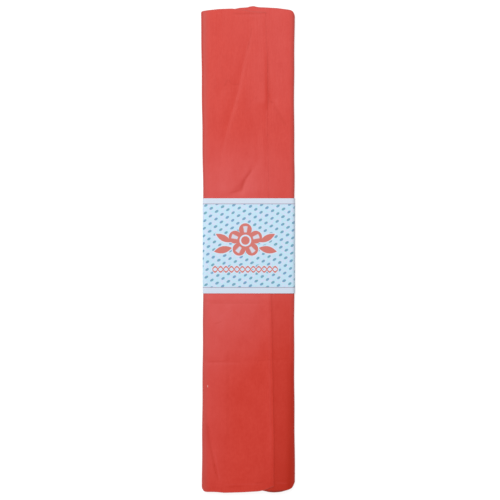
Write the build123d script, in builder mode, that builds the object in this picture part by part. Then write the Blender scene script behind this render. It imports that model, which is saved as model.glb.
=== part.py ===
"""A folded pack of crepe paper: one long sheet wound flat into leaves, held by a printed paper band.

X runs across the pack, Y along it and Z up through the leaves. The origin is the middle of the underside,
on the surface that the pack lies on. All sizes are in millimetres.

The sheet is wound from the inside out. Its outer free edge lies on the top face, short of the right-hand
fold. The band is a strip wrapped once round the pack and glued to itself in a lap under the pack. It slides
along the pack and off either end.
"""

from build123d import *

import math
import os

# The crepe paper sheet
sheet_width = 500.0  # cut width, which is the length of the pack
sheet_length = 2000.0  # length when unwound
sheet_thickness = 0.22  # one layer, with its crimps
leaf_gap = 0.10  # from each leaf of the pack to the next
pack_width = 94.6  # over the outermost folds
free_edge_inset = 26.0  # from the right-hand folds to the sheet's outer free edge
shortest_leaf = 2.0  # the least that the innermost leaf may be

# The paper band
band_length = 97.6  # along the pack
band_offset = 4.0  # from the middle of the pack to the middle of the band
band_thickness = 0.12
band_clearance = 0.25  # between the pack and the band, all round
lap_length = 12.0  # the overlap under the pack
lap_ramp = 1.5  # the run in which the strip steps up onto its own end
ramp_gap = 0.3  # from the strip's outer end to the top of that ramp

# The glue in the lap
glue_thickness = 0.05
glue_side_margin = 1.0  # from the glue to the lap's side edges
glue_end_margin = 3.0  # from the glue to the band's open ends

leaf_pitch = sheet_thickness + leaf_gap


def fold_radius(leaves, fold):
    """The centre-line radius of one fold in a pack of so many leaves, counting folds from the outermost."""
    return (leaves - 1 - fold) * leaf_pitch / 2


def fold_axis(leaves, side):
    """The X about which the folds on one side turn: side is -1 for the left-hand side and 1 for the right."""
    outermost = 0 if side < 0 else 1
    return side * (pack_width / 2 - sheet_thickness / 2 - fold_radius(leaves, outermost))


def full_leaf(leaves):
    """The flat run of each leaf between its two folds."""
    return fold_axis(leaves, 1) - fold_axis(leaves, -1)


def outer_leaf():
    """The X of the sheet's outer free edge."""
    return pack_width / 2 - free_edge_inset


def wound_length(leaves):
    """How much sheet a pack of so many leaves holds when its innermost leaf is a full one."""
    folds = sum(math.pi * fold_radius(leaves, fold) for fold in range(leaves - 1))
    return outer_leaf() - fold_axis(leaves, -1) + folds + full_leaf(leaves) * (leaves - 1)


leaf_count = 2
while wound_length(leaf_count) < sheet_length:
    leaf_count += 1

# The innermost leaf is what is left of the sheet. Where that is too short a leaf, the last fold stands
# further in, and the leaf before it gives up what the innermost one gains.
left_over = full_leaf(leaf_count) - (wound_length(leaf_count) - sheet_length)
innermost_leaf = max(left_over, shortest_leaf)
last_fold_inset = innermost_leaf - left_over

# Heights above the surface
lap_underside = band_thickness + glue_thickness
pack_underside = lap_underside + band_thickness + band_clearance
pack_thickness = (leaf_count - 1) * leaf_pitch + sheet_thickness
band_height = pack_underside + pack_thickness + band_clearance + band_thickness
band_width = pack_width + 2 * (band_clearance + band_thickness)


def draw_winding():
    """Draws the sheet's centre line from its outer free edge inwards, leaf and fold by turns."""
    x = outer_leaf()
    z = pack_underside + pack_thickness - sheet_thickness / 2
    side = -1
    for fold in range(leaf_count - 1):
        axis = fold_axis(leaf_count, side)
        if fold == leaf_count - 2:
            axis -= side * last_fold_inset
        radius = fold_radius(leaf_count, fold)
        Line((x, z), (axis, z))
        # the left-hand folds turn downwards and the right-hand folds turn upwards
        CenterArc((axis, z + side * radius), radius, -90 * side, 180)
        x = axis
        z += 2 * side * radius
        side = -side
    Line((x, z), (x + side * innermost_leaf, z))


def draw_strip():
    """Draws the band's centre line from the inner end of the lap, round the pack, to the outer end."""
    half_thickness = band_thickness / 2
    radius = band_height / 2 - half_thickness
    axis = band_width / 2 - band_height / 2
    bottom = half_thickness
    top = band_height - half_thickness
    lap = lap_underside + half_thickness
    lap_end = lap_length / 2
    ramp_top = lap_end + ramp_gap
    ramp_foot = ramp_top + lap_ramp
    Line((-lap_end, lap), (ramp_top, lap))
    Line((ramp_top, lap), (ramp_foot, bottom))
    Line((ramp_foot, bottom), (axis, bottom))
    CenterArc((axis, band_height / 2), radius, -90, 180)
    Line((axis, top), (-axis, top))
    CenterArc((-axis, band_height / 2), radius, 90, 180)
    Line((-axis, bottom), (lap_end, bottom))


with BuildPart() as crepe_paper_sheet:
    with BuildSketch(Plane.XZ):
        with BuildLine() as winding:
            draw_winding()
        trace(winding.line, sheet_thickness)
    extrude(amount=sheet_width / 2, both=True)

band_middle = Plane.XZ.offset(-band_offset)

with BuildPart() as label_band:
    with BuildSketch(band_middle):
        with BuildLine() as strip:
            draw_strip()
        trace(strip.line, band_thickness)
    extrude(amount=band_length / 2, both=True)

with BuildPart() as band_glue_strip:
    with BuildSketch(band_middle):
        with Locations((0, band_thickness + glue_thickness / 2)):
            Rectangle(lap_length - 2 * glue_side_margin, glue_thickness)
    extrude(amount=band_length / 2 - glue_end_margin, both=True)

crepe_paper_sheet.part.label = "crepe_paper_sheet"
label_band.part.label = "label_band"
band_glue_strip.part.label = "band_glue_strip"

os.makedirs("parts", exist_ok=True)
export_step(crepe_paper_sheet.part, "parts/crepe_paper_sheet.step")
export_step(label_band.part, "parts/label_band.step")
export_step(band_glue_strip.part, "parts/band_glue_strip.step")
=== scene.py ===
import math

import bpy
import numpy as np
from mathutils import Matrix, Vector
from bpy.props import FloatProperty, FloatVectorProperty, IntProperty, PointerProperty


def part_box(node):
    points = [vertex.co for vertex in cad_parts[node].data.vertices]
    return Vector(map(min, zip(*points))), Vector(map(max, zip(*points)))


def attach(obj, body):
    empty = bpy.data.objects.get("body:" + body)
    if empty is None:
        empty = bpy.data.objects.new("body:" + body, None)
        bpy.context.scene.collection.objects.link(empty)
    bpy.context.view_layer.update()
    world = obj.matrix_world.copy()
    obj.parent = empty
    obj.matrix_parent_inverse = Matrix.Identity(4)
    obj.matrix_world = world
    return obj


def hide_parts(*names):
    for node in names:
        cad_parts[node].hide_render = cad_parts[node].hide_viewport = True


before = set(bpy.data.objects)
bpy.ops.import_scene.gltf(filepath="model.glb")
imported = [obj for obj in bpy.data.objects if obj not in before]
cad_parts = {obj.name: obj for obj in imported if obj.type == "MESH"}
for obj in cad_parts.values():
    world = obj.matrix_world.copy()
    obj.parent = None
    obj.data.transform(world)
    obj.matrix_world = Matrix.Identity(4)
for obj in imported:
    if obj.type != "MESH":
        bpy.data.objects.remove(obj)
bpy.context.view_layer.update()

bl_info = {
    "name": "Crepe Paper Pack",
    "version": (1, 0, 0),
    "blender": (4, 5, 0),
    "location": "View3D > Sidebar > Crepe Pack",
    "description": "Makes a folded pack of crepe paper, its printed paper band and a studio to show it in",
    "category": "Add Mesh",
}

MM = 0.001
PACK_LOW, PACK_HIGH = (np.array(corner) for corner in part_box("crepe_paper_sheet"))
BAND_LOW, BAND_HIGH = (np.array(corner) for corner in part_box("label_band"))
DEVELOPED_MAP = "developed"
BAKE_MAP = "OFBake"
STRIP_SHOWN = 32.0  # millimetres of the second leaf from the top that the outermost one leaves in sight
FOLD_POWER = 0.74  # 1 makes round folds, and less makes flatter ones with tighter corners
RAMP_GAP = 0.3  # millimetres from the band's outer end to the top of the ramp in its lap
RAMP_RUN = 1.5  # millimetres in which the ramp steps down
LOW_RULE, HIGH_RULE = -42.7, 43.1  # where the band's thin rules lie, in millimetres from its middle
FLOOR_REACH = 60.0  # metres from the floor's middle to its sides
FLOOR_DROP = 0.2 * MM  # from the surface that the pack lies on down to the floor
KEY_SIZE = 0.7
KEY_PLACE = (-0.55, 0.74, 1.78)
KEY_TARGET = (0.0, 0.05, 0.0)
SENSOR_WIDTH = 36.0
VIEW_MIDDLE = (1.13 * MM, -0.26 * MM)  # where the camera stands over the pack


# ---------------------------------------------------------------- settings


def length(name, description, default):
    """A property that holds a size in metres."""
    return FloatProperty(name=name, description=description, default=default, unit="LENGTH", precision=5)


def colour(name, description, default):
    """A property that holds a linear colour."""
    return FloatVectorProperty(name=name, description=description, default=default, subtype="COLOR",
                               min=0.0, max=1.0)


class CrepeSettings(bpy.types.PropertyGroup):
    """The folded sheet of crepe paper."""

    sheet_width: length("Sheet width", "Cut width, along the pack", 0.5)
    sheet_length: length("Sheet length", "Length when unwound", 2.0)
    thickness: length("Thickness", "One layer with its crimps", 0.22 * MM)
    leaves: IntProperty(name="Leaves", description="Leaves that the sheet is wound into", default=22, min=4)
    end_lift: length("End lift", "How far the top face rises towards the pack's ends", 1.5 * MM)
    edge_place: length("Free edge", "Where the outer free edge crosses the middle", 21.4 * MM)
    edge_slant: FloatProperty(name="Free edge slant", description="Sideways run per length", default=-0.0164)
    dye: colour("Dye", "The paper's colour", (0.560, 0.031, 0.017))
    pale: colour("Pale fibres", "Where the crimps have rubbed", (0.64, 0.053, 0.034))
    # painted shade: the darker tone that stands in for shade on the wound-in leaves, the right shoulder, the
    # near end and along the creases
    painted_shade: colour("Painted shade", "Stands in for shade on the wound-in leaves, the shoulder and the creases", (0.43, 0.016, 0.003))
    # painted sheen: the paler, whiter tone that stands in for the light's sheen on the paper and for
    # highlights beside the creases
    painted_sheen: colour("Painted sheen", "Stands in for sheen on the paper and for highlights by the creases", (0.64, 0.088, 0.082))
    # painted shade: the darker, greyer tone of a thin rim round the folds and along the ends
    painted_rim_shade: colour("Painted rim shade", "Stands in for shade in a thin rim round the folds and along the ends", (0.42, 0.072, 0.060))


class BandSettings(bpy.types.PropertyGroup):
    """The printed paper band and the glue in its lap."""

    thickness: length("Thickness", "The band's paper", 0.12 * MM)
    lap: length("Lap", "Overlap under the pack", 12 * MM)
    glue: length("Glue", "Thickness of the glue in the lap", 0.05 * MM)
    paper: colour("Paper", "Bare coated paper", (0.59, 0.665, 0.775))
    ground: colour("Ground", "Printed pale ground", (0.50, 0.69, 0.84))
    dab: colour("Dab", "The small slanted dabs", (0.13, 0.36, 0.42))
    motif: colour("Motif", "The flower and the braid", (0.60, 0.155, 0.13))
    rule: colour("Rule", "The thin rules", (0.34, 0.27, 0.36))


class StageSettings(bpy.types.PropertyGroup):
    """The floor, the lights and the camera."""

    floor: colour("Floor", "The floor's colour", (0.2, 0.2, 0.2))
    glow: FloatProperty(name="Floor glow", description="The white floor's own light", default=0.88)
    sky: FloatProperty(name="Sky", description="Strength of the even light", default=0.48)
    key: FloatProperty(name="Key", description="Power of the main light", default=27.6, unit="POWER")
    lens: FloatProperty(name="Lens", description="Focal length", default=100.0, unit="CAMERA")
    view: length("View", "Width of what the camera sees on the pack's top face", 0.51335)


# ---------------------------------------------------------------- meshes


def closed_sheet(name, middle, thickness, developed, layout):
    """Makes a sheet of even thickness as a closed mesh, and returns its object.

    middle[i, j] is a grid of points on the sheet's middle surface. The outer face is each point plus half
    the thickness times the surface's unit normal, which is the cross product of the grid's second direction
    with its first, and the inner face is each point minus it. Strips round the four edges close it.
    developed[i, j] is each point's place on the flat sheet. layout holds the outer and the inner face's
    places on the baking map, and the margin of it that the edge strips fill.
    """
    rows, columns = middle.shape[:2]
    normal = np.cross(np.gradient(middle, axis=1), np.gradient(middle, axis=0))
    normal /= np.linalg.norm(normal, axis=2, keepdims=True)
    outer = middle + normal * thickness / 2
    inner = middle - normal * thickness / 2
    at = np.arange(rows * columns).reshape(rows, columns)
    under = at + rows * columns

    def quads(a, b, c, d):
        return np.stack([a.ravel(), b.ravel(), c.ravel(), d.ravel()], 1)

    first, last = at[:-1], at[1:]
    faces = [
        quads(first[:, :-1], first[:, 1:], last[:, 1:], last[:, :-1]),
        quads(under[:-1, :-1], under[1:, :-1], under[1:, 1:], under[:-1, 1:]),
        quads(at[:-1, 0], at[1:, 0], under[1:, 0], under[:-1, 0]),
        quads(at[:-1, -1], under[:-1, -1], under[1:, -1], at[1:, -1]),
        quads(at[0, :-1], under[0, :-1], under[0, 1:], at[0, 1:]),
        quads(at[-1, :-1], at[-1, 1:], under[-1, 1:], under[-1, :-1]),
    ]
    outer_map, inner_map, margin = layout
    # On an edge strip the inner vertices take the outer map's places, moved into the margin.
    strip = outer_map.copy()
    strip[:, 0, 1] -= margin
    strip[:, -1, 1] += margin
    ends = outer_map.copy()
    ends[0, :, 0] -= margin
    ends[-1, :, 0] += margin

    def both_faces(first_map, second_map):
        return np.concatenate([first_map.reshape(-1, 2), second_map.reshape(-1, 2)])

    maps = [both_faces(outer_map, outer_map), both_faces(inner_map, inner_map)]
    maps += [both_faces(outer_map, strip)] * 2 + [both_faces(outer_map, ends)] * 2
    flat = both_faces(developed, developed)

    mesh = bpy.data.meshes.new(name)
    corners = np.concatenate(faces)
    mesh.from_pydata(np.concatenate([outer.reshape(-1, 3), inner.reshape(-1, 3)]), [], corners.tolist())
    mesh.uv_layers.new(name=DEVELOPED_MAP).uv.foreach_set("vector", flat[corners].ravel())
    places = np.concatenate([map_[face] for map_, face in zip(maps, faces)])
    mesh.uv_layers.new(name=BAKE_MAP).uv.foreach_set("vector", places.ravel())
    mesh.polygons.foreach_set("use_smooth", np.ones(len(corners), bool))
    mesh.update()
    mesh.set_sharp_from_angle(angle=math.radians(50))
    piece = bpy.data.objects.new(name, mesh)
    bpy.context.scene.collection.objects.link(piece)
    return piece


def eased(x, start, end):
    """0 up to start, 1 from end on, and a smooth rise between: 3 t squared minus 2 t cubed."""
    t = np.clip((x - start) / (end - start), 0.0, 1.0)
    return t * t * (3 - 2 * t)


def through(x, *stations):
    """A line through (place, value) stations with rounded corners: the mean of five straight reads."""
    places, values = np.array(stations, float).T
    order = np.argsort(places)
    reach = 0.12 * (places.max() - places.min()) / len(places)
    shifts = (-reach, -reach / 2, 0.0, reach / 2, reach)
    return sum(np.interp(x + shift, places[order], values[order]) for shift in shifts) / len(shifts)


# ---------------------------------------------------------------- the crepe paper sheet


def winding(crepe):
    """The section of the wound sheet, as arrays along it, in millimetres.

    The path runs leaf, fold, leaf, fold, from the outer free edge inwards. A leaf is a straight run between
    the two fold axes, and a fold is a flattened half circle that joins it to the next. Returned are each
    sample's place across the pack, its height, its level from 0 on the lowest leaf to 1 on the highest, its
    leaf number, and the length of sheet up to it.
    """
    low, high = PACK_LOW / MM, PACK_HIGH / MM
    thickness = crepe.thickness / MM
    leaves = crepe.leaves
    pitch = (high[2] - low[2] - thickness) / (leaves - 1)
    x, z, number = [], [], []
    height = high[2] - thickness / 2
    for leaf in range(leaves):
        side = -1 if leaf % 2 == 0 else 1
        radius = (leaves - 1 - leaf) * pitch / 2
        start_axis = -side * fold_axis(leaf - 1, high[0], thickness, pitch, leaves)
        end_axis = side * fold_axis(leaf, high[0], thickness, pitch, leaves)
        # the leaves that show have more points across than the hidden ones
        if leaf == 0:
            start_axis = crepe.edge_place / MM
            places = np.linspace(0, 1, 60)
        elif leaf == 1:
            places = np.linspace(0, 1, 30)
        elif leaf == 2:
            places = np.concatenate([np.linspace(0, 0.66, 40), np.linspace(0.72, 1, 5)])
        elif leaf == leaves - 1:
            places = np.linspace(0, 0.9, 4)
        else:
            places = np.linspace(0, 1, 6 if leaf < 6 else 4)
        x.append(start_axis + (end_axis - start_axis) * places)
        z.append(np.full(len(places), height))
        number.append(leaf + 0 * places)
        if leaf == leaves - 1:
            break
        steps = 10 if leaf < 2 else 6 if leaf < 6 else 4
        turn = np.linspace(0, math.pi, steps + 1)[1:-1]
        x.append(end_axis + side * radius * squared(np.sin(turn)))
        z.append(height + side * radius * (1 - squared(np.cos(turn))))
        number.append(leaf + turn / math.pi)
        height += 2 * side * radius
    x, z, number = (np.concatenate(part) for part in (x, z, number))
    steps = np.hypot(np.diff(x), np.diff(z))
    run = np.concatenate([[0.0], np.cumsum(steps)])
    level = np.clip((z - low[2] - thickness / 2) / (high[2] - low[2] - thickness), 0.0, 1.0)
    return x, z, level, number, run


def squared(wave):
    """A sine wave pulled towards a square one: its size to the power of FOLD_POWER, with its sign kept."""
    return np.sign(wave) * np.abs(wave) ** FOLD_POWER


def fold_axis(leaf, half_width, thickness, pitch, leaves):
    """How far out the folds after this leaf turn: half the width, less the outermost fold's radius."""
    outermost = 0 if leaf % 2 == 0 else 1
    return half_width - thickness / 2 - (leaves - 1 - outermost) * pitch / 2


def stations_along(half):
    """Places along the pack, in millimetres, closer together at the ends and beside the band."""
    band_low, band_high = BAND_LOW[1] / MM, BAND_HIGH[1] / MM
    stops = [-half, -half + 16, -122, -108, band_low - 30, band_low - 12, band_low - 6, band_low + 4,
             band_high - 4, band_high + 6, band_high + 30, 140, 165, half - 16, half]
    counts = [9, 26, 7, 8, 6, 5, 7, 5, 7, 17, 15, 14, 18, 9]
    pieces = [np.linspace(a, b, n, endpoint=False) for a, b, n in zip(stops, stops[1:], counts)]
    return np.concatenate([*pieces, [half]])


def beside(x, place, left, right):
    """1 on a line at place and falling away on its two sides: e to the minus distance over left or right."""
    gap = x - place
    return np.exp(np.where(gap < 0, gap / left, -gap / right))


def between(y, low, high, blend):
    """1 between two places and 0 outside them, eased over fade."""
    return eased(y, low - blend / 2, low + blend / 2) * (1 - eased(y, high - blend / 2, high + blend / 2))


def top_relief(x, y, free_edge):
    """The height, in millimetres, that creases and soft swells add to the top leaves at (x, y).

    Each crease is a valley whose line wanders with y: its depth times a fall-off that is wide on one side
    and narrow on the other. The hem of the outermost leaf is a low ridge beside its free edge.
    """
    # the long fold that runs from the far end down to the left
    line = through(y, (232, 2.4), (214, 0.6), (203, -2.6), (176, -8.4), (160, -11.6), (141, -17.0),
                   (125, -21.6), (107, -25.8), (94, -28.8))
    depth = through(y, (238, 0.0), (218, 0.20), (190, 0.34), (150, 0.40), (115, 0.36), (92, 0.10), (78, 0.0))
    relief = -depth * beside(x, line, 6.0, 1.4)
    # a short branch of it, and a dimple under the branch
    branch = 168 + 0.30 * (x + 12)
    relief -= 0.13 * between(x, -31, -11, 8) * beside(y, branch, 1.6, 4.0)
    relief -= 0.12 * np.exp(-((x + 27) / 5) ** 2 - ((y - 160) / 9) ** 2)
    # the pinch where the band grips the pack: a facet that falls from a ridge on its left to a valley
    line = through(y, (122, 8.4), (106, 8.9), (96, 10.2), (90, 9.2), (84, 4.4), (78, 0.2), (71.6, -3.4),
                   (66, -5.6), (60, -6.8), (54, -7.4))
    girth = through(y, (100, 4.0), (78, 3.0), (73, 3.6), (66.5, 5.5), (61.5, 11.5), (58, 16.0), (54, 20.0))
    depth = through(y, (128, 0.0), (112, 0.14), (94, 0.20), (84, 0.34), (76, 0.60), (68, 0.92), (60, 0.9),
                    (55, 0.4), (53, 0.2))
    facet = np.where(x < line, eased(x, line - girth, line), np.exp(-np.abs(x - line) / 4.2))
    relief -= depth * facet * (y > 40)
    # a hook where the sprung part of the free edge ends
    line = 156.8 - 0.8 * (x - 22.7)
    relief -= 0.50 * between(x, 21.0, 28.4, 2) * beside(y, line, 1.6, 2.4)
    # a short crease that leaves the free edge
    line = through(y, (150, 24.5), (146, 26.0), (128, 41.0), (124, 44.0))
    relief -= 0.20 * between(y, 124, 148, 8) * beside(x, line, 2.6, 1.2)
    # slivers near the near end's left corner
    line = through(y, (-150, -43.4), (-176, -41.6), (-209, -36.6), (-243, -32.2))
    relief -= 0.62 * between(y, -243, -172, 30) * beside(x, line, 2.6, 1.5)
    line = through(y, (-150, -45.4), (-185, -42.2), (-222, -39.4))
    relief -= 0.30 * between(y, -225, -150, 30) * beside(x, line, 1.8, 1.5)
    # a faint cross crease, a bow above it, and the mark that the band's edge has left
    line = -114.4 + 0.02 * x
    relief -= 0.36 * beside(y, line, 1.6, 3.2) * (1 - 0.6 * between(x, -16, 60, 12))
    line = -126.5 - 0.05 * (x + 8) ** 2
    relief -= 0.07 * between(x, -16, 3, 5) * beside(y, line, 1.2, 2.4)
    relief -= 0.24 * beside(y, -53.4, 2.4, 1.0) * (1 - between(x, 16, 60, 6))
    # the two ends turn up a little past a soft crease
    relief -= 0.14 * beside(y, -241.0 + 0.6 * np.sin(x / 9.0), 2.6, 3.0)
    relief -= 0.07 * beside(y, 240.6 + 0.7 * np.sin(x / 7.0 + 1.0), 3.0, 2.4)
    # the hem
    hem = 0.06 + 0.36 * eased(-y, -60, 40)
    relief += hem * np.exp(-((x - free_edge + 3.0) / 3.2) ** 2)
    # soft swells
    relief += 0.15 * np.sin(x / 13.0 + 0.8 * np.sin(y / 55.0)) * np.sin(y / 41.0 + 1.3)
    relief += 0.07 * np.sin(x / 5.1 + 1.1 * np.sin(y / 37.0) + 0.6) * np.sin(y / 23.0 + 0.4)
    relief += 0.04 * np.sin(x / 2.9 + 1.7 * np.sin(y / 19.0)) * np.sin(y / 13.0 + 0.9 * np.sin(x / 8.0))
    return relief


def edge_lift(run, y):
    """How far the outermost leaf's margin stands off the leaf below, in millimetres, less its usual gap.

    The last few millimetres lie flat, apart from one stretch towards the far end that has sprung open: it
    rises to a soft ridge and bends down again to its edge.
    """
    sprung = np.interp(y, [-250, 141, 146, 151, 160, 176, 194, 202, 250],
                       [0.0, 0.0, 0.3, 1.0, 0.85, 0.7, 0.45, 0.0, 0.0])
    arch = 0.64 * (1 - eased(run, 2.0, 19.0)) - 0.50 * (1 - eased(run, 0.0, 2.8))
    return sprung * arch - 0.13 * (1 - eased(run, 0.0, 6.0))


def back_relief(x, y):
    """The depth, in millimetres, that two long creases and soft swells take into the bottom leaves."""
    relief = -0.35 * beside(x, -14 + 0.08 * y, 5.0, 1.5) * between(y, 70, 225, 40)
    relief -= 0.30 * beside(x, 22 - 0.05 * y, 1.4, 5.0) * between(y, -220, -70, 40)
    relief += 0.07 * np.sin(x / 11.0 + 0.4) * np.sin(y / 47.0 + 2.0)
    return relief


def end_outlines(x, leaf):
    """How far each leaf reaches towards the far end and the near end at x, in millimetres from the middle.

    The outermost leaf and the one under it have outlines of their own. The rest follow a shallow arch, each
    a little short of it by an amount that wanders from leaf to leaf.
    """
    far_first = through(x, (-50, 242.5), (-48.7, 244.4), (-40, 245.8), (-29.3, 247.0), (-16.6, 247.5),
                        (-12, 246.9), (-6, 246.4), (0, 245.1), (10, 244.2), (22, 244.0))
    far_second = through(x, (-50, 242.5), (-46, 243.8), (-20, 246.8), (-14, 247.2), (-9.2, 248.3),
                         (-3, 248.7), (-1, 248.9), (1, 249.7), (5, 250.1), (7, 249.6), (9.5, 249.0),
                         (18.6, 248.6), (29.9, 247.9), (42.6, 246.2), (45.5, 244.6), (46.6, 242.2),
                         (49, 238.0))
    near_first = through(x, (-50, 241.0), (-47.4, 242.6), (-45.8, 247.4), (-43.5, 248.5), (-33.8, 248.6),
                         (-24.6, 249.4), (-8.7, 249.0), (2.8, 248.3), (9.5, 247.9), (15.8, 246.7),
                         (20, 245.0), (26, 242.5))
    near_second = through(x, (-50, 243.0), (-45, 247.0), (14, 247.2), (17, 247.8), (19.3, 248.5),
                          (25.6, 249.1), (32.3, 248.6), (40.3, 246.6), (43.2, 245.4), (45.0, 244.0),
                          (46.4, 240.6), (49, 236.0))
    arch_far = through(x, (-50, 240.5), (-46, 242.8), (-20, 245.8), (5, 247.4), (30, 246.4), (42, 244.8),
                       (46, 241.8), (49, 237.0))
    arch_near = through(x, (-50, 241.9), (-45, 246.0), (-20, 247.6), (10, 246.6), (30, 246.8), (38, 245.2),
                        (44, 241.8), (49, 236.9))
    wander = 0.6 * np.sin(2.1 * leaf) + 0.5 * np.sin(0.9 * leaf + 0.05 * x + 1.0)
    first = 1 - eased(leaf, 0.0, 1.0)
    second = eased(leaf, 1.0, 2.0) * (1 - eased(leaf, 2.3, 3.0))
    inner_far = arch_far + 0.9 * wander
    inner_near = arch_near + 0.8 * wander
    far = inner_far + first * (far_first - inner_far) + second * (far_second - inner_far)
    near = inner_near + first * (near_first - inner_near) + second * (near_second - inner_near)
    return far, near


def shoulder_drop(x, y):
    """How far the top sinks towards the right fold, in millimetres: a cubic, deeper to the near end."""
    depth = through(y, (250, 0.4), (150, 0.2), (60, 0.3), (-60, 0.4), (-120, 1.1), (-180, 2.0), (-250, 2.6))
    return depth * np.clip((x - 24) / 23, 0, 1.1) ** 3


def folded_sheet(crepe):
    """The middle surface of the wound sheet, its thickness, its places on the flat sheet and its baking map.

    A point has a place in the section and a place along the pack. The section is narrowed to the band's
    width where the band grips it and spread towards the ends, and its levels are lifted and lowered by the
    profile along the pack. The creases are deepest on the top and bottom leaves and fade out further in.
    Under the deeper creases some hidden leaves cut into the next one.
    """
    x, z, level, leaf, run = winding(crepe)
    half = crepe.sheet_width / MM / 2
    along = stations_along(half)
    x, z, level, leaf, run = (part[:, None] for part in (x, z, level, leaf, run))
    y = along[None, :]

    # the free edge slants, and the outermost leaf stretches to meet it
    axis = x[leaf[:, 0] <= 0].min()
    free_edge = crepe.edge_place / MM + crepe.edge_slant * y + 0.9 * between(y, 146, 206, 20)
    free_edge = free_edge + 1.0 * between(y, -215, -50, 60)
    stretch = (axis - free_edge) / (axis - crepe.edge_place / MM)
    x = np.where(leaf <= 0, axis + (x - axis) * stretch, x + 0 * y)

    far, near = end_outlines(x, leaf + 0 * x)
    reach = 34.0
    pull_far = eased(y, half - reach, half) * (far - half)
    pull_near = eased(-y, half - reach, half) * (near - half)
    place = y + pull_far - pull_near

    left = through(place, (250, 49.5), (215, 48.95), (165, 48.5), (100, 47.75), (60, 47.1), (0, 47.0),
                   (-60, 47.25), (-100, 47.5), (-165, 48.0), (-240, 48.4))
    right = through(place, (250, 47.3), (215, 47.0), (165, 46.6), (120, 46.75), (80, 47.15), (55, 46.85),
                    (0, 47.0), (-50, 46.8), (-100, 46.7), (-165, 46.95), (-240, 47.5))
    across = x * np.where(x < 0, left, right) / (PACK_HIGH[0] / MM)
    across = across + 0.12 * np.sin(place / 9.0 + 0.3 * leaf) * eased(np.abs(x), 30, 47)

    band_low, band_high = BAND_LOW[1] / MM, BAND_HIGH[1] / MM
    gap = np.maximum(place - band_high, band_low - place)  # distance outside the band
    loose = eased(gap, -0.5, 8.0)
    freed = 0.45 * eased(gap, -1.0, 9.0) + 0.55 * eased(gap, 5.0, 90.0)
    ends = eased(gap, 110.0, 200.0)
    low = z.min() - 0.38 * freed
    high = z.max() + crepe.end_lift / MM * (0.62 * freed + 0.38 * ends)
    high = high - freed * shoulder_drop(across, place)
    height = low + (high - low) * level
    height = height + level ** 2.2 * loose * top_relief(across, place, free_edge)
    height = height - (1 - level) ** 3 * loose * back_relief(across, place)
    height = height - 0.5 * freed * eased(np.abs(across), 38, 49) * (level - 0.5)
    height = height + 0.11 * ends * np.sin(across / 7.0 + 0.55 * leaf) * (4 * level * (1 - level)) ** 0.5
    droop = eased(place, 238, 252) + 1.2 * eased(-place, 239, 251)
    height = height - 0.45 * droop * level
    height = height + np.where(leaf <= 0, edge_lift(run + 0 * y, place), 0.0) * loose
    height = np.maximum(height, crepe.thickness / MM * 0.6)

    middle = np.stack([across, place, height], 2) * MM
    developed = np.stack([run + 0 * y, y + 0 * x], 2) * MM
    thickness = crepe.thickness * (0.5 + 0.5 * eased(run, 0.0, 5.0)) + 0 * y
    return middle, thickness[..., None], developed, sheet_layout(run[:, 0], leaf[:, 0], along, half)


def sheet_layout(run, leaf, along, half):
    """The baking map: a broad panel for the leaves that show, and narrow ones for the rest and the inside."""
    margin = 0.004
    shown = run[leaf == 2].min() + STRIP_SHOWN
    u = margin + np.interp(run, [0.0, shown, run[-1]], [0.0, 0.85, 0.92]) * (1 - 2 * margin)
    v = 2 * margin + (along + half) / (2 * half) * (1 - 4 * margin)
    outer = np.stack(np.broadcast_arrays(u[:, None], v[None, :]), 2)
    inner_u = 0.935 + run / run[-1] * 0.06
    inner = np.stack(np.broadcast_arrays(inner_u[:, None], v[None, :]), 2)
    return outer, inner, margin


# ---------------------------------------------------------------- the paper band


def band_surface(band):
    """The middle surface of the band, its places on the flat strip, and its baking map.

    The profile is the CAD band's, with flatter half rounds: a flat top and bottom joined at the sides, with
    the lap's two layers underneath. It is carried straight along the pack. Distance along the strip is
    counted from the middle of the top face.
    """
    low, high = BAND_LOW / MM, BAND_HIGH / MM
    thickness = band.thickness / MM
    lap = band.lap / MM
    glue = band.glue / MM
    radius = (high[2] - low[2] - thickness) / 2
    middle_z = (high[2] + low[2]) / 2
    axis = high[0] - thickness / 2 - radius
    bottom = low[2] + thickness / 2
    top = high[2] - thickness / 2
    lap_z = bottom + thickness + glue
    turn = np.linspace(0, math.pi, 19)[1:-1]
    ramp = np.linspace(0, 1, 9)
    ramp_x = lap / 2 + RAMP_GAP + RAMP_RUN * ramp
    ramp_z = lap_z + (bottom - lap_z) * eased(ramp, 0, 1)
    flat = np.linspace(axis, -axis, 61)
    runs = [
        (np.linspace(-lap / 2, lap / 2, 9), np.full(9, lap_z)),
        (ramp_x, ramp_z),
        (np.linspace(ramp_x[-1] + 1, axis, 18), np.full(18, bottom)),
        (axis + radius * squared(np.sin(turn)), middle_z - radius * squared(np.cos(turn))),
        (flat, np.full(61, top)),
        (-axis - radius * squared(np.sin(turn)), middle_z + radius * squared(np.cos(turn))),
        (np.linspace(-axis, lap / 2, 26), np.full(26, bottom)),
    ]
    # the strip is followed from its outer end to its inner one, so that its print faces outwards
    x = np.concatenate([part[0] for part in runs])[::-1]
    z = np.concatenate([part[1] for part in runs])[::-1]
    run = np.concatenate([[0.0], np.cumsum(np.hypot(np.diff(x), np.diff(z)))])
    crossing = np.interp(0.0, x[(z > middle_z)], run[(z > middle_z)])
    y = np.linspace(low[1], high[1], 57)
    grid_x, grid_y = np.meshgrid(x, y, indexing="ij")
    grid_z = np.broadcast_to(z[:, None], grid_x.shape)
    ripple = 0.05 * np.sin(grid_x / 8.0 + 0.5) * np.sin(grid_y / 13.0)
    on_top = eased(grid_z, top - 0.4, top) * between(grid_x, -38, 38, 8)
    middle = np.stack([grid_x, grid_y, grid_z - on_top * (0.05 + ripple)], 2) * MM
    centre = (low[1] + high[1]) / 2
    developed = np.stack([(run[:, None] - crossing) + 0 * grid_x, grid_y - centre], 2) * MM
    return middle, developed, band_layout(run - crossing, y, axis + radius)


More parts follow.
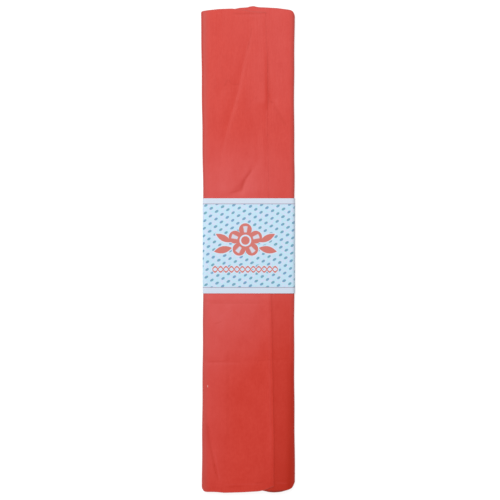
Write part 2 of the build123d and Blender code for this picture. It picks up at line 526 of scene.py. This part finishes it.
def band_layout(run, y, half_face):
    """The baking map: most of it for the top face's print, and narrow panels for the back and the inside."""
    margin = 0.006
    share = np.interp(run, [run[0], -half_face, half_face, run[-1]], [0.0, 0.13, 0.87, 1.0])
    v = 2 * margin + (y - y[0]) / (y[-1] - y[0]) * (1 - 4 * margin)
    outer_u = margin * 2 + share * 0.9
    outer = np.stack(np.broadcast_arrays(outer_u[:, None], v[None, :]), 2)
    inner_u = 0.945 + (run - run[0]) / (run[-1] - run[0]) * 0.045
    inner = np.stack(np.broadcast_arrays(inner_u[:, None], v[None, :]), 2)
    return outer, inner, margin


# ---------------------------------------------------------------- shader maths


class Reading:
    """A number that varies over a surface, on which Python's operators add Math nodes."""

    def __init__(self, finish, socket):
        self.finish = finish
        self.socket = socket

    def maths(self, operation, *others, clamp=False):
        node = self.finish.node("ShaderNodeMath", {"operation": operation, "use_clamp": clamp},
                                dict(enumerate((self, *others))))
        return Reading(self.finish, node.outputs[0])

    def __add__(self, other):
        return self.maths("ADD", other)

    def __mul__(self, other):
        return self.maths("MULTIPLY", other)

    def __sub__(self, other):
        return self.maths("SUBTRACT", other)

    def __rsub__(self, other):
        node = self.finish.node("ShaderNodeMath", {"operation": "SUBTRACT"}, {0: other, 1: self})
        return Reading(self.finish, node.outputs[0])

    def __truediv__(self, other):
        return self.maths("DIVIDE", other)

    def __pow__(self, other):
        return self.maths("POWER", other)

    def __abs__(self):
        return self.maths("ABSOLUTE")

    def __neg__(self):
        return self.maths("MULTIPLY", -1.0)

    def clamped(self):
        return self.maths("ADD", 0.0, clamp=True)

    def least(self, other):
        return self.maths("MINIMUM", other)

    def most(self, other):
        return self.maths("MAXIMUM", other)

    def eased(self, start, end):
        """0 up to start and 1 from end on, with a smooth rise between. start may be above end."""
        node = self.finish.node("ShaderNodeMapRange", {"interpolation_type": "SMOOTHSTEP"},
                                {"Value": self, "From Min": start, "From Max": end})
        return Reading(self.finish, node.outputs["Result"])


class Finish:
    """A material being built. node() adds any node, and the other methods read places and patterns."""

    def __init__(self, name):
        self.material = bpy.data.materials.new(name)
        self.material.use_nodes = True
        self.tree = self.material.node_tree
        self.tree.nodes.clear()

    def node(self, kind, settings=None, inputs=None):
        """Adds a node of that type, sets its settings, then its sockets' values or links."""
        node = self.tree.nodes.new(kind)
        for name, value in (settings or {}).items():
            setattr(node, name, value)
        for name, value in (inputs or {}).items():
            socket = node.inputs[name]
            if isinstance(value, Reading):
                self.tree.links.new(value.socket, socket)
            elif isinstance(value, bpy.types.NodeSocket):
                self.tree.links.new(value, socket)
            else:
                socket.default_value = value
        return node

    def map_places(self):
        """The piece's place on its flat sheet, in millimetres, as a vector, and its two parts."""
        place = self.node("ShaderNodeUVMap", {"uv_map": DEVELOPED_MAP})
        scaled = self.node("ShaderNodeVectorMath", {"operation": "SCALE"},
                           {0: place.outputs["UV"], "Scale": 1 / MM})
        parts = self.node("ShaderNodeSeparateXYZ", None, {0: scaled.outputs[0]})
        return scaled.outputs[0], Reading(self, parts.outputs["X"]), Reading(self, parts.outputs["Y"])

    def object_places(self):
        """The place in the pack's frame, in millimetres, as a vector, and its parts: across, along and up."""
        place = self.node("ShaderNodeTexCoord").outputs["Object"]
        scaled = self.node("ShaderNodeVectorMath", {"operation": "SCALE"}, {0: place, "Scale": 1 / MM})
        parts = self.node("ShaderNodeSeparateXYZ", None, {0: scaled.outputs[0]})
        return scaled.outputs[0], *(Reading(self, parts.outputs[axis]) for axis in "XYZ")

    def noise(self, places, stretch=(1, 1, 1), **inputs):
        """A noise over places that are first multiplied by stretch, from 0 to 1."""
        moved = self.node("ShaderNodeVectorMath", {"operation": "MULTIPLY"}, {0: places, 1: stretch})
        names = {"scale": "Scale", "detail": "Detail", "roughness": "Roughness", "distortion": "Distortion"}
        node = self.node("ShaderNodeTexNoise", None,
                         {"Vector": moved.outputs[0], **{names[k]: v for k, v in inputs.items()}})
        return Reading(self, node.outputs["Fac"])

    def stroke(self, places, start, end, width, share):
        """share on the straight line from start to end, 0 from width to its side, and fading at its tips.

        The places are moved, turned and scaled so that the line runs from -1 to 1 and its side is at 1.
        """
        reach = math.dist(start, end)
        middle = ((start[0] + end[0]) / 2, (start[1] + end[1]) / 2, 0.0)
        turn = math.atan2(end[1] - start[1], end[0] - start[0])
        tip = min(12.0 / reach, 0.66)
        moved = self.node("ShaderNodeMapping", {"vector_type": "TEXTURE"},
                          {"Vector": places, "Location": middle, "Rotation": (0.0, 0.0, turn),
                           "Scale": (reach / 2, width, 1.0)})
        size = self.node("ShaderNodeVectorMath", {"operation": "ABSOLUTE"}, {0: moved.outputs[0]})
        fall = self.node("ShaderNodeMapRange",
                         {"data_type": "FLOAT_VECTOR", "interpolation_type": "SMOOTHSTEP"},
                         {6: size.outputs[0], 7: (1 - tip, 0.2, 0.0), 8: (1.0, 1.0, 1.0),
                          9: (share, 1.0, 0.0), 10: (0.0, 0.0, 0.0)})
        parts = self.node("ShaderNodeSeparateXYZ", None, {0: fall.outputs[1]})
        return Reading(self, parts.outputs["X"]) * Reading(self, parts.outputs["Y"])

    def mix(self, share, first, second):
        """The colour first where share is 0 and second where it is 1."""
        node = self.node("ShaderNodeMix", {"data_type": "RGBA"},
                         {"Factor": share, 6: as_colour(first), 7: as_colour(second)})
        return node.outputs[2]

    def bump(self, height, strength, distance):
        inputs = {"Height": height, "Strength": strength, "Distance": distance}
        return self.node("ShaderNodeBump", None, inputs).outputs["Normal"]

    def close(self, **inputs):
        """Adds the surface shader with these sockets and joins it to the output."""
        names = {key.replace("_", " "): value for key, value in inputs.items()}
        shader = self.node("ShaderNodeBsdfPrincipled", None, names)
        self.node("ShaderNodeOutputMaterial", None, {"Surface": shader.outputs[0]})
        return self.material


def as_colour(value):
    """A colour of three numbers gets its alpha; a socket stays as it is."""
    if isinstance(value, bpy.types.NodeSocket):
        return value
    return (*value, 1.0)


def free_line(crepe, along):
    """Where the outermost leaf's free edge lies across the pack, in millimetres, at a place along it."""
    bowed = between_lines(along, -215.0, -50.0, 60.0) + between_lines(along, 146.0, 206.0, 20.0) * 0.9
    return along * crepe.edge_slant + crepe.edge_place / MM + bowed


def between_lines(reading, low, high, blend):
    """1 between two places and 0 outside them, eased over fade."""
    half = blend / 2
    return reading.eased(low - half, low + half) * (1 - reading.eased(high - half, high + half))


# Lines painted along the creases on the top face, the first table painted shade and the second painted
# highlights:
# where each starts and ends, across and along, its half width, and how much of the darker or the paler colour
# it takes.
CREASE_SHADES = (
    (2.9, 231.0, 1.2, 214.0, 1.3, 0.22), (1.2, 216.0, -2.0, 203.0, 1.5, 0.25),
    (-26.0, 166.0, -21.5, 175.6, 1.3, 0.22), (-21.5, 175.6, -17.6, 169.5, 1.3, 0.22),
    (-17.6, 169.5, -8.6, 169.8, 1.2, 0.22), (21.0, 153.4, 25.6, 150.2, 1.5, 0.26),
    (25.0, 150.0, 39.5, 124.2, 2.4, 0.15), (-19.0, 242.0, 21.0, 243.0, 1.4, 0.22),
    (-44.5, -114.7, -21.0, -114.7, 1.7, 0.19), (-22.0, -114.6, -6.0, -114.9, 1.4, 0.13),
    (4.0, -114.2, 45.0, -111.2, 1.2, 0.14), (-36.5, -76.6, -26.4, -73.1, 1.3, 0.17),
    (-43.8, -176.0, -37.6, -215.0, 1.7, 0.22), (-39.9, -201.0, -31.5, -239.0, 1.9, 0.22),
    (44.4, -112.0, 43.9, -182.0, 1.9, 0.34), (4.0, 83.5, -5.0, 71.0, 1.7, 0.22),
    (-3.0, 75.0, -9.5, 58.0, 2.4, 0.26), (-6.5, 62.0, -22.0, 57.6, 1.6, 0.18),
    (-22.0, -100.0, -22.0, -194.0, 2.6, 0.10), (-42.5, -54.6, 16.0, -54.6, 1.5, 0.14),
    (-26.0, -243.5, -4.0, -242.5, 1.3, 0.20), (5.0, -239.5, 16.0, -238.5, 1.3, 0.20),
    (24.0, -236.5, 43.0, -237.0, 1.4, 0.20),
)
CREASE_HIGHLIGHTS = (
    (-19.0, 239.6, 21.0, 240.6, 1.0, 0.10), (17.7, 146.0, 17.7, 112.0, 1.1, 0.12),
    (-42.5, -51.2, 18.5, -51.4, 1.1, 0.12), (-44.5, -117.0, -8.0, -117.2, 1.2, 0.10),
    (-35.6, -204.0, -29.4, -239.0, 1.2, 0.12), (-45.0, -186.0, -44.0, -236.0, 1.0, 0.14),
    (-28.0, -240.8, 16.0, -240.2, 1.0, 0.10), (26.0, -239.4, 42.0, -239.8, 1.1, 0.12),
    (-45.0, 196.0, -44.2, 62.0, 0.9, 0.07), (-44.0, -56.0, -44.9, -180.0, 0.9, 0.07),
    (42.3, -58.0, 42.3, -116.0, 0.9, 0.08),
)


def crepe_finish(crepe):
    """Dyed crepe paper: crimps that run along the pack, mottled dye, and painted light and shade.

    A painted sheen makes the paper paler along the left fold, through the middle and towards the far end.
    Painted shade darkens the wound-in leaves that show, the shoulder near the right fold and the right of
    the near end, and makes a thin darker line round each fold and along the ends. Lines of painted shade
    and painted highlights lie along the creases.
    """
    paint = Finish("crepe_paper")
    place, run, cut = paint.map_places()
    spot, across, along, up = paint.object_places()
    wound_in = run.eased(160.0, 168.0)  # 0 on the outermost leaf and the bottom one, and 1 on all the others
    crimp = paint.noise(place, (1.05, 0.11, 1.0), scale=1.0, detail=3.0, roughness=0.62, distortion=1.1)
    fine = paint.noise(place, (3.0, 0.34, 1.0), scale=1.0, detail=2.0, roughness=0.6, distortion=0.6)
    cloud = paint.noise(place, (0.075, 0.05, 1.0), scale=1.0, detail=3.0, roughness=0.6)
    fleck = paint.noise(place, (0.33, 0.26, 1.0), scale=1.0, detail=2.0, roughness=0.55)
    rubbed = (crimp - 0.5) * 0.8 + (cloud - 0.5) * 0.85 + (fleck - 0.5) * 0.65 + 0.32
    shade = paint.mix(rubbed.clamped(), crepe.dye, crepe.pale)
    near = 1 - along.eased(-220.0, 180.0)
    left = (-across).eased(8.0, 47.0)
    middle_sheen = along.eased(-150.0, -45.0) * (1 - along.eased(58.0, 135.0))
    # painted sheen: a paler, whiter tone along the left fold, through the middle and towards the far end,
    # less of it on the right in the near half
    blend = left * along.eased(-340.0, -90.0) * (1 - along.eased(-60.0, 200.0)) * 0.42
    blend = blend - across.eased(-12.0, 20.0) * (1 - along.eased(-62.0, -36.0)) * 0.16
    blend = blend + middle_sheen * (0.70 - abs(across + 8.0).eased(6.0, 46.0) * 0.32)
    blend = blend + along.eased(20.0, 230.0) * (across.eased(-30.0, 36.0) * 0.26 + 0.10)
    shade = paint.mix((blend * (cloud * 0.7 + 0.65)).clamped(), shade, crepe.painted_sheen)
    # painted shade: darker on the wound-in leaves that show, most towards the near end, on the shoulder by
    # the right fold in the near half, and on the right at the near end
    inner_shade = wound_in * (near * 0.42 - along.eased(-230.0, -110.0) * 0.11)
    shoulder = across.eased(35.0, 47.0) * (1 - along.eased(-190.0, -50.0)) * 0.62
    corner = across.eased(-10.0, 36.0) * (1 - along.eased(-250.0, -180.0)) * 0.22
    shade = paint.mix((inner_shade + shoulder + corner).clamped(), shade, crepe.painted_shade)
    # painted shade: a thin darker, greyer rim round each fold and along both ends, weaker on the right in the
    # near half
    shady = across.eased(0.0, 30.0) * (1 - along.eased(-140.0, 20.0))
    fold_rim_shade = abs(across).eased(40.5, 47.2) * (0.5 - shady * 0.34)
    fold_rim_shade = fold_rim_shade.most(abs(cut).eased(248.6, 250.0) * 0.45)
    shade = paint.mix(fold_rim_shade, shade, crepe.painted_rim_shade)
    # painted shade: a dark line along the near end of the wound-in leaves, between 16 and 38 mm right of the
    # middle
    near_end_shade = wound_in * (-cut).eased(247.0, 249.0) * (1 - along.eased(-248.0, -245.4))
    shade = paint.mix(near_end_shade * between_lines(across, 16.0, 38.0, 5.0) * 0.75, shade, (0.19, 0.018, 0.009))

    # painted light and shade on the top face: a painted shadow beside the free edge, painted shade along the
    # creases, and painted highlights just inside the free edge and beside the creases
    past_edge = across - free_line(crepe, along)
    strength = between_lines(along, 146.0, 196.0, 14.0) * 0.22 + (1 - along.eased(-60.0, 10.0)) * 0.2
    dark = wound_in * past_edge.eased(-1.6, -0.6) * (1 - past_edge.eased(0.0, 3.0)) * strength
    for x0, y0, x1, y1, width, share in CREASE_SHADES:
        dark = dark.most(paint.stroke(spot, (x0, y0), (x1, y1), width, share))
    # painted highlight: a pale line 3 mm inside the free edge, between 230 and 44 mm from the middle towards
    # the near end
    light = (1 - abs(past_edge + 3.0).eased(0.5, 1.9)) * along.eased(-230.0, -190.0)
    light = light * (1 - along.eased(-48.0, -40.0)) * 0.10
    for x0, y0, x1, y1, width, share in CREASE_HIGHLIGHTS:
        light = light.most(paint.stroke(spot, (x0, y0), (x1, y1), width, share))
    shown = up.eased(5.2, 6.0)
    shade = paint.mix(dark * shown, shade, crepe.painted_shade)
    shade = paint.mix(light * shown, shade, crepe.painted_sheen)
    speck = 1 - ((across + 42.3) ** 2 * 3.0 + ((along + 140.0) * 0.5) ** 2).eased(0.2, 0.6)
    shade = paint.mix(speck * 0.7, shade, (0.75, 0.45, 0.40))
    streak = paint.noise(place, (0.30, 0.035, 1.0), scale=1.0, detail=2.0, roughness=0.5, distortion=0.8)
    normal = paint.bump(crimp * 0.5 + fine * 0.5 + streak * 0.7, 0.45, 0.00030)
    return paint.close(Base_Color=shade, Roughness=(cloud - 0.5) * 0.08 + 0.48, Normal=normal,
                       Specular_IOR_Level=0.23)


def print_finish(band):
    """The band's coated paper and its print: margins, thin rules, slanted dabs, a flower and a wavy rule.

    All distances are in millimetres on the flat strip, from the middle of the top face.
    """
    paint = Finish("printed_paper")
    place, u, v = paint.map_places()

    # the field between the two rules
    field = v.eased(LOW_RULE - 0.2, LOW_RULE + 0.2) * (1 - v.eased(HIGH_RULE - 0.2, HIGH_RULE + 0.2))
    rule = 1 - abs(v - HIGH_RULE).least(abs(v - LOW_RULE)).eased(0.2, 0.6)

    # dabs on a slanted lattice: steps of one[] along a row and two[] from row to row
    one, two = (5.51, -3.065), (-0.55, -7.84)
    area = one[0] * two[1] - one[1] * two[0]
    wander = paint.noise(place, (0.11, 0.11, 1.0), scale=1.0, detail=1.0)
    du = u + 38.7 + (wander - 0.5) * 1.4
    dv = v - 38.45
    row = (du * two[1] - dv * two[0]) / area
    column = (dv * one[0] - du * one[1]) / area
    row_off = row - row.maths("ROUND")
    column_off = column - column.maths("ROUND")
    off_u = row_off * one[0] + column_off * two[0]
    off_v = row_off * one[1] + column_off * two[1]
    tilt = math.radians(33)
    long_way = (off_u * math.cos(tilt) + off_v * math.sin(tilt)) / 2.1
    short_way = (off_v * math.cos(tilt) - off_u * math.sin(tilt)) / 1.3
    dab = 1 - (long_way * long_way + short_way * short_way).eased(0.5, 1.3)

    # the flower: five petals, a pale ring, and a pair of leaves on each side
    fu, fv = u + 3.6, v - 5.5
    far_out = (fu * fu + fv * fv) ** 0.5
    angle = fu.maths("ARCTAN2", fv)
    petal = abs((angle * 2.5).maths("COSINE")) ** 0.55
    flower = far_out - petal * 8.5 - 9.2
    ring = abs(far_out - 5.2) - 0.8
    sides = abs(fu)
    leaves = None
    for at_u, at_v, slope, reach, girth in ((23.0, -9.5, -12, 9.5, 3.6), (22.5, 2.5, 28, 9.0, 3.2)):
        turn = math.radians(slope)
        p = (sides - at_u) * math.cos(turn) + (fv - at_v) * math.sin(turn)
        q = (fv - at_v) * math.cos(turn) - (sides - at_u) * math.sin(turn)
        leaf = abs(q) + p * p * (girth / reach ** 2) - girth
        leaves = leaf if leaves is None else leaves.least(leaf)
    vein = abs(far_out - 11.5) - 3.2
    groove = petal.eased(0.93, 0.985) * (1 - vein.eased(-0.4, 0.4))

    # the braid under it: two waves that cross
    wu, wv = u + 3.9, v + 24.1
    swing = (wu * (2 * math.pi / 11.2)).maths("SINE") * 2.7
    braid = abs(wv - swing).least(abs(wv + swing)) - 0.85
    braid = braid.most(abs(wu) - 33.6)

    shape = flower.least(leaves).least(braid)
    inked = 1 - shape.eased(-0.3, 0.3)
    inked = inked * (ring.eased(-0.3, 0.3)) * (1 - groove * 0.8)
    halo = 1 - shape.eased(0.5, 1.4)

    tint = paint.noise(place, (0.24, 0.24, 1.0), scale=1.0, detail=2.0)
    mottle = paint.noise(place, (0.55, 0.55, 1.0), scale=1.0, detail=1.0)
    ground = paint.mix(tint.eased(0.40, 0.60), band.ground, (0.61, 0.66, 0.85))
    ground = paint.mix(mottle.eased(0.42, 0.62) * 0.7, ground, (0.44, 0.74, 0.81))
    dab_tint = paint.mix(mottle.eased(0.42, 0.58), band.dab, (0.16, 0.31, 0.54))
    sheet = paint.mix(field, band.paper, ground)
    sheet = paint.mix(dab * field * (1 - halo), sheet, dab_tint)
    sheet = paint.mix(halo * 0.5, sheet, (0.70, 0.76, 0.86))
    sheet = paint.mix(inked, sheet, band.motif)
    sheet = paint.mix(rule * 0.8, sheet, band.rule)
    # painted shade: darker from 44 mm past the middle of the top face on one side, where the band turns down
    sheet = paint.mix(u.eased(44.0, 48.0) * 0.45, sheet, (0.36, 0.40, 0.46))

    grain = paint.noise(place, (1.4, 1.4, 1.0), scale=1.0, detail=3.0)
    normal = paint.bump(grain, 0.12, 0.00012)
    return paint.close(Base_Color=sheet, Roughness=0.46 - inked * 0.06, Normal=normal,
                       Specular_IOR_Level=0.4)


def glue_finish():
    """Dried paper glue: pale, slightly uneven and glossy."""
    paint = Finish("paper_glue")
    place = paint.node("ShaderNodeTexCoord").outputs["Object"]
    swirl = paint.noise(place, (1, 1, 1), scale=900.0, detail=3.0)
    tone = paint.mix(swirl, (0.72, 0.68, 0.56), (0.85, 0.83, 0.75))
    normal = paint.bump(swirl, 0.3, 0.00005)
    return paint.close(Base_Color=tone, Roughness=swirl * 0.2 + 0.2, Normal=normal)


# ---------------------------------------------------------------- operators


class PACK_OT_crepe_sheet(bpy.types.Operator):
    """Folds the crepe paper sheet into its pack"""

    bl_idname = "pack.crepe_sheet"
    bl_label = "Crepe Paper Sheet"

    def execute(self, context):
        crepe = context.scene.crepe
        middle, thickness, developed, layout = folded_sheet(crepe)
        piece = closed_sheet("crepe_sheet", middle, thickness, developed, layout)
        piece.data.materials.append(crepe_finish(crepe))
        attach(piece, "pack")
        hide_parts("crepe_paper_sheet")
        return {"FINISHED"}


class PACK_OT_paper_band(bpy.types.Operator):
    """Wraps the printed paper band round the pack and glues its lap"""

    bl_idname = "pack.paper_band"
    bl_label = "Paper Band"

    def execute(self, context):
        band = context.scene.band
        middle, developed, layout = band_surface(band)
        piece = closed_sheet("paper_band", middle, band.thickness, developed, layout)
        piece.data.materials.append(print_finish(band))
        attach(piece, "band")
        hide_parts("label_band")
        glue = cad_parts["band_glue_strip"]
        glue.data.materials.clear()
        glue.data.materials.append(glue_finish())
        return {"FINISHED"}


class PACK_OT_stage(bpy.types.Operator):
    """Lays the pale floor and sets the lights and the camera"""

    bl_idname = "pack.stage"
    bl_label = "Stage"

    def execute(self, context):
        stage = context.scene.stage
        paint = Finish("pale_floor")
        paint.close(Base_Color=(*stage.floor, 1.0), Roughness=0.9, Specular_IOR_Level=0.1,
                    Emission_Color=(1.0, 1.0, 1.0, 1.0), Emission_Strength=stage.glow)
        mesh = bpy.data.meshes.new("floor")
        corners = [(x * FLOOR_REACH, y * FLOOR_REACH, -FLOOR_DROP)
                   for x, y in ((-1, -1), (1, -1), (1, 1), (-1, 1))]
        mesh.from_pydata(corners, [], [(0, 1, 2, 3)])
        mesh.materials.append(paint.material)
        floor = bpy.data.objects.new("floor", mesh)
        context.scene.collection.objects.link(floor)

        world = bpy.data.worlds.new("studio")
        world.use_nodes = True
        background = world.node_tree.nodes["Background"]
        background.inputs["Color"].default_value = (1.0, 1.0, 1.0, 1.0)
        background.inputs["Strength"].default_value = stage.sky
        context.scene.world = world
        self.lamp(context, "key", stage.key, KEY_SIZE, KEY_PLACE, KEY_TARGET)

        camera = bpy.data.cameras.new("camera")
        camera.lens = stage.lens
        camera.sensor_width = SENSOR_WIDTH
        viewer = bpy.data.objects.new("camera", camera)
        distance = stage.view * stage.lens / SENSOR_WIDTH
        viewer.location = (*VIEW_MIDDLE, PACK_HIGH[2] + distance)
        context.scene.collection.objects.link(viewer)
        context.scene.camera = viewer
        context.scene.view_settings.view_transform = "Standard"
        return {"FINISHED"}

    def lamp(self, context, name, power, size, place, target):
        """A square soft light at place, turned to target."""
        light = bpy.data.lights.new(name, "AREA")
        light.energy = power
        light.size = size
        lamp = bpy.data.objects.new(name, light)
        lamp.location = place
        towards = Vector(target) - Vector(place)
        lamp.rotation_euler = towards.to_track_quat("-Z", "Y").to_euler()
        context.scene.collection.objects.link(lamp)


class PACK_PT_panel(bpy.types.Panel):
    """Lists the pieces of the pack and their settings"""

    bl_label = "Crepe Paper Pack"
    bl_idname = "PACK_PT_panel"
    bl_space_type = "VIEW_3D"
    bl_region_type = "UI"
    bl_category = "Crepe Pack"

    def draw(self, context):
        for group, operator in (("crepe", PACK_OT_crepe_sheet), ("band", PACK_OT_paper_band),
                                ("stage", PACK_OT_stage)):
            settings = getattr(context.scene, group)
            box = self.layout.box()
            box.operator(operator.bl_idname)
            for name in settings.__annotations__:
                box.prop(settings, name)


CLASSES = (CrepeSettings, BandSettings, StageSettings, PACK_OT_crepe_sheet, PACK_OT_paper_band,
           PACK_OT_stage, PACK_PT_panel)


def register():
    for each in CLASSES:
        bpy.utils.register_class(each)
    bpy.types.Scene.crepe = PointerProperty(type=CrepeSettings)
    bpy.types.Scene.band = PointerProperty(type=BandSettings)
    bpy.types.Scene.stage = PointerProperty(type=StageSettings)


def unregister():
    for name in ("stage", "band", "crepe"):
        delattr(bpy.types.Scene, name)
    for each in reversed(CLASSES):
        bpy.utils.unregister_class(each)


def main():
    """Makes the whole pack and its stage."""
    register()
    bpy.ops.pack.stage()
    bpy.ops.pack.crepe_sheet()
    bpy.ops.pack.paper_band()


if __name__ == "__main__":
    main()
